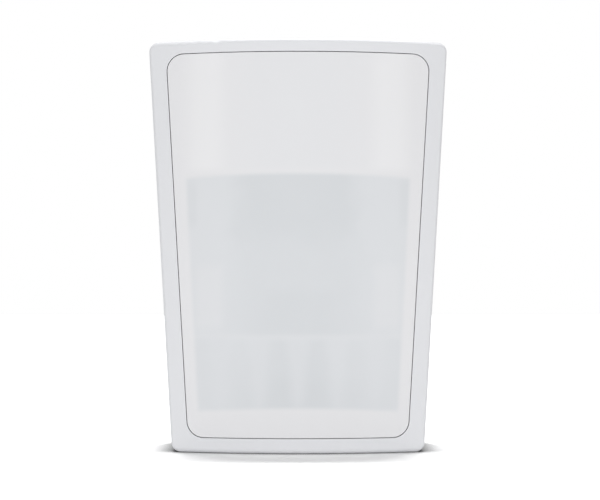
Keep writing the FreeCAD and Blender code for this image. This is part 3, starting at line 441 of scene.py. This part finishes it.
class DETECTOR_OT_optics(bpy.types.Operator):
    """Finish the hood, its gasket and the sensor in it"""
    bl_idname = "detector.optics"
    bl_label = "Optics"

    def execute(self, context):
        # Dark ABS with a matt mould finish, which keeps stray light down
        paint(plain("matt_dark_abs", linear("3A3B3D"), 0.75, 0.5 * MM, 0.03 * MM, ior=1.54),
              "optics_chamber")
        # Closed-cell polyethylene foam: dull, with cells of a third of a millimetre
        paint(plain("closed_cell_foam", linear("2A2A2B"), 0.95, 0.35 * MM, 0.15 * MM, variation=0.3),
              "sensor_gasket")
        # Drawn and nickel-plated steel can: soft bright metal with fine drawing marks
        paint(plain("nickel_plated_steel", linear("CFCBC2"), 0.28, 0.3 * MM, 0.004 * MM, metallic=1.0),
              "sensor_base", "sensor_can")
        # Coated silicon filter: nearly black, with a hard polished face
        paint(plain("coated_silicon_filter", linear("2B2430"), 0.08, 2 * MM, 0.001 * MM, ior=3.4),
              "sensor_filter")
        # White epoxy light body: cream, smooth and slightly glossy
        paint(plain("white_epoxy_light", linear("EDE9DC"), 0.3, 0.3 * MM, 0.004 * MM), "status_led")
        return {"FINISHED"}


def fill_chip_tree(tree):
    """Lays the nodes that set out chip parts in a grid, each a body between two metal ends."""
    sockets = (
        ("Columns", "NodeSocketInt"), ("Rows", "NodeSocketInt"),
        ("Column Spacing", "NodeSocketFloat"), ("Row Spacing", "NodeSocketFloat"),
        ("Part Size", "NodeSocketVector"), ("Place", "NodeSocketVector"),
        ("Body", "NodeSocketMaterial"), ("Ends", "NodeSocketMaterial"))
    for name, kind in sockets:
        tree.interface.new_socket(name, in_out="INPUT", socket_type=kind)
    tree.interface.new_socket("Geometry", in_out="OUTPUT", socket_type="NodeSocketGeometry")
    given = add(tree, "NodeGroupInput").outputs

    spread = []
    for count, spacing in (("Columns", "Column Spacing"), ("Rows", "Row Spacing")):
        steps = add(tree, "ShaderNodeMath", {0: given[count], 1: 1}, operation="SUBTRACT")
        spread.append(add(tree, "ShaderNodeMath", {0: steps, 1: given[spacing]}, operation="MULTIPLY"))
    grid = add(tree, "GeometryNodeMeshGrid", {
        "Size X": spread[0], "Size Y": spread[1], "Vertices X": given["Columns"], "Vertices Y": given["Rows"]})
    points = add(tree, "GeometryNodeMeshToPoints", {"Mesh": grid})
    # The body, then the end caps: share of the length, share of the height, shift along the part, and finish
    blocks = ((0.64, 0.92, 0.0, "Body"), (0.18, 1.0, 0.41, "Ends"), (0.18, 1.0, -0.41, "Ends"))
    laid = []
    for length, height, shift, material in blocks:
        size = add(tree, "ShaderNodeVectorMath", {
            0: given["Part Size"], 1: (length, 1.0, height)}, operation="MULTIPLY")
        cube = add(tree, "GeometryNodeMeshCube", {"Size": size})
        lift = add(tree, "ShaderNodeVectorMath", {
            0: given["Part Size"], 1: (shift, 0.0, height / 2)}, operation="MULTIPLY")
        cube = add(tree, "GeometryNodeTransform", {"Geometry": cube, "Translation": lift})
        cube = add(tree, "GeometryNodeSetMaterial", {"Geometry": cube, "Material": given[material]})
        placed = add(tree, "GeometryNodeInstanceOnPoints", {"Points": points, "Instance": cube})
        laid.append(add(tree, "GeometryNodeRealizeInstances", {"Geometry": placed}))
    joined = add(tree, "GeometryNodeJoinGeometry")
    for part in laid:
        tree.links.new(part.outputs[0], joined.inputs[0])
    upright = add(tree, "GeometryNodeTransform", {
        "Geometry": joined, "Translation": given["Place"], "Rotation": (math.radians(90), 0, 0)})
    add(tree, "NodeGroupOutput", {0: upright})


def grown(name, tree, values):
    """A plain mesh object made by a node tree from its named inputs."""
    carrier = bpy.data.objects.new(name + "_source", bpy.data.meshes.new(name + "_source"))
    bpy.context.scene.collection.objects.link(carrier)
    modifier = carrier.modifiers.new("build", "NODES")
    modifier.node_group = tree
    for item in tree.interface.items_tree:
        if item.in_out == "INPUT" and item.name in values:
            modifier[item.identifier] = values[item.name]
    evaluated = carrier.evaluated_get(bpy.context.evaluated_depsgraph_get())
    mesh = bpy.data.meshes.new_from_object(evaluated)
    bpy.data.objects.remove(carrier)
    if not mesh.polygons:
        raise RuntimeError(f"{name}: its node tree made nothing")
    piece = bpy.data.objects.new(name, mesh)
    bpy.context.scene.collection.objects.link(piece)
    return piece


class DETECTOR_OT_board(bpy.types.Operator):
    """Finish the circuit board and set out its small chip parts"""
    bl_idname = "detector.board"
    bl_label = "Circuit board"

    def execute(self, context):
        looks = context.scene.detector_board
        paint(printed_board(looks), "circuit_board", "radio_module")
        tree = bpy.data.node_groups.new("chip_parts", "GeometryNodeTree")
        fill_chip_tree(tree)
        # Fired ceramic, matt and brown, with bright tin-plated ends
        body = plain("fired_ceramic", linear("8A7A66"), 0.5, 0.1 * MM, 0.004 * MM, ior=1.6)
        ends = plain("tin_plated_ends", linear("D8D8D4"), 0.35, 0.1 * MM, 0.004 * MM, metallic=1.0)
        # Columns are farther apart than rows, because the parts lie lengthways across them
        column_spacing = 1.35 * looks.chip_pitch
        rows, level = 6, -22 * MM
        for name, columns, x in (("chip_parts_left", 1, -22.5 * MM), ("chip_parts_middle", 3, -1.2 * MM)):
            piece = grown(name, tree, {
                "Columns": columns, "Rows": rows, "Column Spacing": column_spacing,
                "Row Spacing": looks.chip_pitch, "Part Size": looks.chip_size,
                "Place": Vector((x, BOARD_FRONT, level)), "Body": body, "Ends": ends})
            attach(piece, "detector")
        return {"FINISHED"}


class DETECTOR_OT_electronics(bpy.types.Operator):
    """Finish the parts that are soldered to the board"""
    bl_idname = "detector.electronics"
    bl_label = "Electronics"

    def execute(self, context):
        # Transfer-moulded epoxy: dull black and fine-grained
        paint(plain("moulded_epoxy", linear("26272A"), 0.6, 0.12 * MM, 0.008 * MM), "controller_chip")
        # Drawn aluminium can of a surface-mount capacitor: bright, with fine drawing marks
        paint(plain("drawn_aluminium", linear("C9CBCC"), 0.3, 0.25 * MM, 0.004 * MM, metallic=1.0),
              "storage_capacitor")
        # Tin-plated brass sheet, stamped and folded: a soft grey gloss
        paint(plain("tinned_sheet_metal", linear("C4C4BF"), 0.34, 0.4 * MM, 0.006 * MM, metallic=1.0),
              "radio_shield", "antenna_strip")
        # Black glass-filled nylon with bright gilt pins, which show from just before its front face
        body_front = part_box("jumper_header")[1].y - 2.6 * MM
        paint(two_part("nylon_and_gilt_pins", linear("C9A85A"), linear("1C1D1F"), "Y", body_front,
                       roughness=(0.25, 0.6), metallic=(1.0, 0.0)),
              "jumper_header")
        # Black glass-filled nylon as moulded: dull, with a fine grain
        paint(plain("black_nylon", linear("1C1D1F"), 0.6, 0.3 * MM, 0.012 * MM),
              "jumper_cap", "enrol_button_body", "tamper_switch_body")
        # Moulded acetal: waxy off-white, slightly glossy
        paint(plain("acetal", linear("DCD8CC"), 0.35, 0.6 * MM, 0.004 * MM, ior=1.48),
              "enrol_button_cap", "tamper_plunger")
        return {"FINISHED"}


class DETECTOR_OT_battery(bpy.types.Operator):
    """Finish the battery, its holder and its contacts"""
    bl_idname = "detector.battery"
    bl_label = "Battery"

    def execute(self, context):
        # Glass-filled nylon as moulded: nearly black and dull
        paint(plain("glass_filled_nylon", linear("202124"), 0.62, 0.3 * MM, 0.012 * MM), "battery_holder")
        # Shrunk PVC sleeve, dark and glossy, that stops short of the steel button
        sleeve_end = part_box("battery_cell")[1].x - 1.4 * MM
        paint(two_part("shrunk_pvc_sleeve", linear("39424F"), linear("C8C8C4"), "X", sleeve_end,
                       roughness=(0.3, 0.3), metallic=(0.0, 1.0)),
              "battery_cell")
        # Nickel-plated spring steel: bright and slightly warm
        paint(plain("nickel_plated_spring_steel", linear("CBC8C0"), 0.3, 0.3 * MM, 0.004 * MM, metallic=1.0),
              "battery_contact_positive", "battery_contact_negative")
        return {"FINISHED"}


class DETECTOR_OT_fasteners(bpy.types.Operator):
    """Finish the screws"""
    bl_idname = "detector.fasteners"
    bl_label = "Fasteners"

    def execute(self, context):
        # Zinc-plated steel: slightly blue and duller than nickel
        paint(plain("zinc_plated_steel", linear("BFC3C8"), 0.38, 0.3 * MM, 0.006 * MM, metallic=1.0),
              "board_screws", "cover_screw")
        return {"FINISHED"}


class DETECTOR_OT_studio(bpy.types.Operator):
    """Set the floor, the light and the camera"""
    bl_idname = "detector.studio"
    bl_label = "Studio"
    # Half the floor's side
    FLOOR_REACH = 3.0
    # How white the floor is where the camera sees it, and where it only throws light back on the detector
    FLOOR_SEEN = 1.42
    FLOOR_BOUNCE = 0.42
    # A whiter card round the base throws more light up on the lower part. It is full out to its first radius
    CARD_BOUNCE = 0.78
    CARD_RADII = (70 * MM, 140 * MM)
    # The contact shadow painted into the floor's seen colour where base and floor meet: how far out it reaches,
    # and how fast it deepens
    CONTACT_REACH = 6 * MM
    CONTACT_DEPTH = 1.6
    # How far a direction may point along an axis before the broad light behind the camera fades, and ends
    FRONT_FADES = (("Y", -0.3, 0.5), ("Z", 0.15, 0.5))
    # Each lamp's width, its tip from straight down about X, and then about Y, in degrees
    LAMPS = (("camera_light", 8, 87, 0), ("top_light_left", 9, -17, -8), ("top_light_right", 9, -17, 8))
    # The photograph's width in pixels, and its scale at the detector in pixels to the metre
    PHOTO_WIDTH = 600
    PHOTO_SCALE = 4005.0
    # The camera's distance from the detector's front, and its height over the detector's middle
    CAMERA_DISTANCE = 0.52
    CAMERA_HEIGHT = -11.6 * MM
    # The point of the front plane that is in the middle of the picture: to the right, and up
    AIM = (0.5 * MM, -1.15 * MM)

    def execute(self, context):
        scene = context.scene
        looks = scene.detector_studio
        scene.view_settings.view_transform = "Standard"
        self.floor(scene)
        self.world(scene, looks)
        self.lamps(scene, looks)
        self.camera(scene)
        return {"FINISHED"}

    def floor(self, scene):
        """Matt paper sweep: plain white where it is seen, with the lamps' shadows and a painted contact shadow
        that deepens close to the base.
        """
        reach, low = self.FLOOR_REACH, CAD_LOW.z
        mesh = bpy.data.meshes.new("floor")
        corners = [(-reach, -reach, low), (reach, -reach, low), (reach, reach, low), (-reach, reach, low)]
        mesh.from_pydata(corners, [], [(0, 1, 2, 3)])
        floor = bpy.data.objects.new("floor", mesh)
        scene.collection.objects.link(floor)

        material = bpy.data.materials.new("matt_white_paper")
        material.use_nodes = True
        tree = material.node_tree
        tree.nodes.clear()
        # Painted contact shadow: the floor's seen colour is darker where the base hides much of the room close
        # by
        near = add(tree, "ShaderNodeAmbientOcclusion", {"Distance": self.CONTACT_REACH}, samples=8)
        near = add(tree, "ShaderNodeMath", {0: near.outputs["AO"], 1: self.CONTACT_DEPTH}, operation="POWER")
        near = add(tree, "ShaderNodeMath", {0: near, 1: self.FLOOR_SEEN}, operation="MULTIPLY")
        away = add(tree, "ShaderNodeVectorMath", {0: place(tree)[0]}, operation="LENGTH").outputs["Value"]
        bounce = add(tree, "ShaderNodeMapRange", {
            "Value": away, "From Min": self.CARD_RADII[0], "From Max": self.CARD_RADII[1],
            "To Min": self.CARD_BOUNCE, "To Max": self.FLOOR_BOUNCE})
        shade = add(tree, "ShaderNodeMix", {
            FACTOR: seen_rays(tree), FIRST_NUMBER: bounce, SECOND_NUMBER: near}, data_type="FLOAT")
        paper = add(tree, "ShaderNodeBsdfDiffuse", {"Color": shade})
        add(tree, "ShaderNodeOutputMaterial", {"Surface": paper})
        mesh.materials.append(material)

    def world(self, scene, looks):
        """Light tent: even light from all round, stronger behind the camera, and white where it is seen."""
        world = bpy.data.worlds.new("light_tent")
        scene.world = world
        world.use_nodes = True
        tree = world.node_tree
        tree.nodes.clear()
        toward = add(tree, "ShaderNodeSeparateXYZ", {0: add(tree, "ShaderNodeTexCoord").outputs["Generated"]})
        light = looks.front_light
        for axis, full, none in self.FRONT_FADES:
            fade = add(tree, "ShaderNodeMapRange", {
                "Value": toward.outputs[axis], "From Min": full, "From Max": none,
                "To Min": 1.0, "To Max": 0.0}, interpolation_type="SMOOTHSTEP")
            light = add(tree, "ShaderNodeMath", {0: fade, 1: light}, operation="MULTIPLY")
        light = add(tree, "ShaderNodeMath", {0: light, 1: looks.daylight}, operation="ADD")
        level = add(tree, "ShaderNodeMix", {
            FACTOR: seen_rays(tree), FIRST_NUMBER: light, SECOND_NUMBER: 1.0}, data_type="FLOAT")
        sky = add(tree, "ShaderNodeBackground", {"Color": (1, 1, 1, 1), "Strength": level})
        add(tree, "ShaderNodeOutputWorld", {"Surface": sky})

    def lamps(self, scene, looks):
        """Soft boxes: one behind the camera, and two above and a little behind.

        The two are tipped to the sides, so that only a narrow bowed strip before the base lies in both of
        their shadows.
        """
        for name, width, tip, aside in self.LAMPS:
            behind_camera = name == "camera_light"
            light = bpy.data.lights.new(name, "SUN")
            light.energy = looks.camera_light if behind_camera else looks.top_light / 2
            light.angle = math.radians(width)
            lamp = bpy.data.objects.new(name, light)
            scene.collection.objects.link(lamp)
            lamp.rotation_euler = (math.radians(tip), math.radians(aside), 0)
            # The satin plastic shows no hot spot in the photograph
            lamp.visible_glossy = not behind_camera

    def camera(self, scene):
        """Camera at the height and distance from which the photograph's perspective follows."""
        data = bpy.data.cameras.new("camera")
        data.sensor_width = 36.0
        data.lens = self.PHOTO_SCALE * self.CAMERA_DISTANCE / self.PHOTO_WIDTH * data.sensor_width
        data.clip_start = 0.01
        data.clip_end = 20.0
        camera = bpy.data.objects.new("camera", data)
        scene.collection.objects.link(camera)
        camera.location = (0.0, CAD_LOW.y - self.CAMERA_DISTANCE, self.CAMERA_HEIGHT)
        aim = Vector((self.AIM[0], CAD_LOW.y, self.AIM[1])) - camera.location
        camera.rotation_mode = "QUATERNION"
        camera.rotation_quaternion = aim.to_track_quat("-Z", "Y")
        scene.camera = camera


class DETECTOR_PT_panel(bpy.types.Panel):
    """Lists the pieces of the detector"""
    bl_idname = "DETECTOR_PT_panel"
    bl_label = "Motion detector"
    bl_space_type = "VIEW_3D"
    bl_region_type = "UI"
    bl_category = "Detector"

    def draw(self, context):
        for name in SETTINGS:
            box = self.layout.box()
            looks = getattr(context.scene, name)
            for prop in looks.bl_rna.properties:
                if prop.identifier not in {"rna_type", "name"}:
                    box.prop(looks, prop.identifier)
        for operator in OPERATORS:
            self.layout.operator(operator.bl_idname)


SETTINGS = {
    "detector_housing": HousingLooks,
    "detector_window": WindowLooks,
    "detector_board": BoardLooks,
    "detector_studio": StudioLooks,
}
OPERATORS = (
    DETECTOR_OT_housing, DETECTOR_OT_window, DETECTOR_OT_optics, DETECTOR_OT_board,
    DETECTOR_OT_electronics, DETECTOR_OT_battery, DETECTOR_OT_fasteners, DETECTOR_OT_studio,
)
CLASSES = (*SETTINGS.values(), *OPERATORS, DETECTOR_PT_panel)


def register():
    for made in CLASSES:
        bpy.utils.register_class(made)
    for name, group in SETTINGS.items():
        setattr(bpy.types.Scene, name, bpy.props.PointerProperty(type=group))


def unregister():
    for name in SETTINGS:
        delattr(bpy.types.Scene, name)
    for made in reversed(CLASSES):
        bpy.utils.unregister_class(made)


def main():
    """Makes every piece and the studio."""
    register()
    for operator in OPERATORS:
        family, name = operator.bl_idname.split(".")
        getattr(getattr(bpy.ops, family), name)()


if __name__ == "__main__":
    main()
